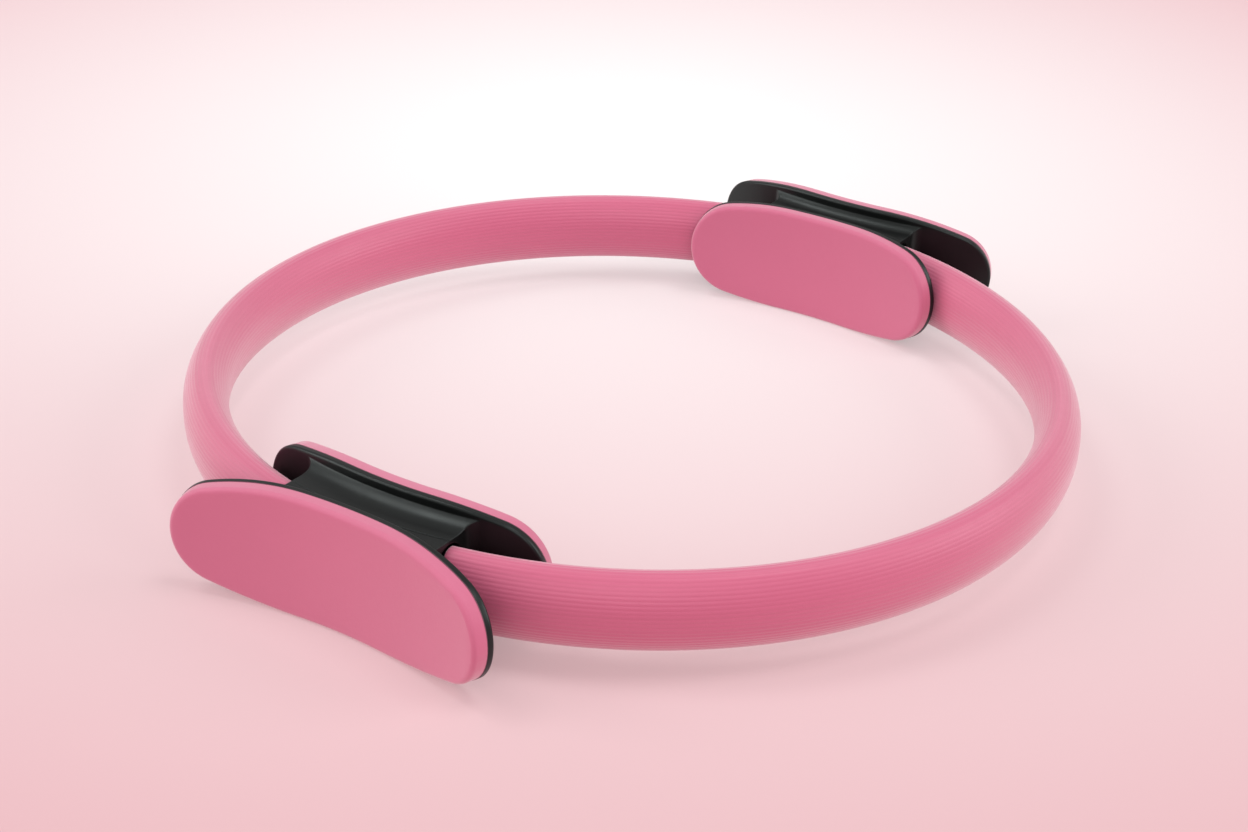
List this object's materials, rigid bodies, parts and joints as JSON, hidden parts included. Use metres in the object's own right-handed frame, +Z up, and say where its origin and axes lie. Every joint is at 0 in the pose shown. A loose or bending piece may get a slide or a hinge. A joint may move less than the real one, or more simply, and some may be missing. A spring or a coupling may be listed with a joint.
{
  "type": "pilates ring",
  "caption": "Springy round exercise hoop in ribbed pink foam sleeves, with curved oval foam-padded handles on opposite sides for pressing in or out.",
  "frame": {"origin": "on the resting plane, under the centre of the hoop", "axes": "+Z up along the hoop's axis, +Y from the front handle to the back handle, +X to the right"},
  "size_m": [0.38, 0.4156, 0.051],
  "materials": {
    "pink_sleeve_foam": "matte closed-cell foam with fine ribs along the tube",
    "pink_pad_foam": "matte closed-cell foam, smooth skin",
    "black_plastic": "semi-matte moulded",
    "adhesive_film": "double-sided film",
    "spring_steel": "cold-rolled strip",
    "screw_steel": "zinc plated"
  },
  "bodies": {
    "front_handle": {"front_outer_shell": "black_plastic", "front_outer_pad_tape": "adhesive_film", "front_outer_pad": "pink_pad_foam", "front_inner_shell": "black_plastic", "front_inner_pad_tape": "adhesive_film", "front_inner_pad": "pink_pad_foam", "front_screws": "screw_steel"},
    "left_front_bow": {"left_front_sleeve": "pink_sleeve_foam", "left_outer_leaf": "spring_steel", "left_inner_leaf": "spring_steel"},
    "left_back_bow": {"left_back_sleeve": "pink_sleeve_foam"},
    "right_front_bow": {"right_front_sleeve": "pink_sleeve_foam", "right_outer_leaf": "spring_steel", "right_inner_leaf": "spring_steel"},
    "right_back_bow": {"right_back_sleeve": "pink_sleeve_foam"},
    "back_handle": {"back_outer_shell": "black_plastic", "back_outer_pad_tape": "adhesive_film", "back_outer_pad": "pink_pad_foam", "back_inner_shell": "black_plastic", "back_inner_pad_tape": "adhesive_film", "back_inner_pad": "pink_pad_foam", "back_screws": "screw_steel"}
  },
  "joints": [
    {"name": "squeeze", "type": "hinge", "parent": "front_handle", "child": "left_front_bow", "pos_m": [-0.037, -0.17677, 0.0255], "axis": [0, 0, 1], "range_deg": [-2.5, 12], "stiffness_Nm_per_rad": 12, "deforming": ["left_outer_leaf", "left_inner_leaf", "left_front_sleeve"]},
    {"name": "left_side_flex", "type": "hinge", "parent": "left_front_bow", "child": "left_back_bow", "pos_m": [-0.1806, 0, 0.0255], "axis": [0, 0, 1], "range_deg": [-24, 5], "stiffness_Nm_per_rad": 15, "deforming": ["left_back_sleeve"]},
    {"name": "back_left_flex", "type": "hinge", "parent": "left_back_bow", "child": "back_handle", "pos_m": [-0.037, 0.17677, 0.0255], "axis": [0, 0, 1], "range_deg": [-2.5, 12], "stiffness_Nm_per_rad": 12},
    {"name": "front_right_flex", "type": "hinge", "parent": "front_handle", "child": "right_front_bow", "pos_m": [0.037, -0.17677, 0.0255], "axis": [0, 0, 1], "range_deg": [-12, 2.5], "stiffness_Nm_per_rad": 12, "deforming": ["right_outer_leaf", "right_inner_leaf", "right_front_sleeve"]},
    {"name": "right_side_flex", "type": "hinge", "parent": "right_front_bow", "child": "right_back_bow", "pos_m": [0.1806, 0, 0.0255], "axis": [0, 0, 1], "range_deg": [-5, 24], "stiffness_Nm_per_rad": 15, "deforming": ["right_back_sleeve"]}
  ],
  "couplings": [
    {"joint": "left_side_flex", "follows": "squeeze", "ratio": -2},
    {"joint": "back_left_flex", "follows": "squeeze", "ratio": 1},
    {"joint": "front_right_flex", "follows": "squeeze", "ratio": -1},
    {"joint": "right_side_flex", "follows": "squeeze", "ratio": 2}
  ]
}
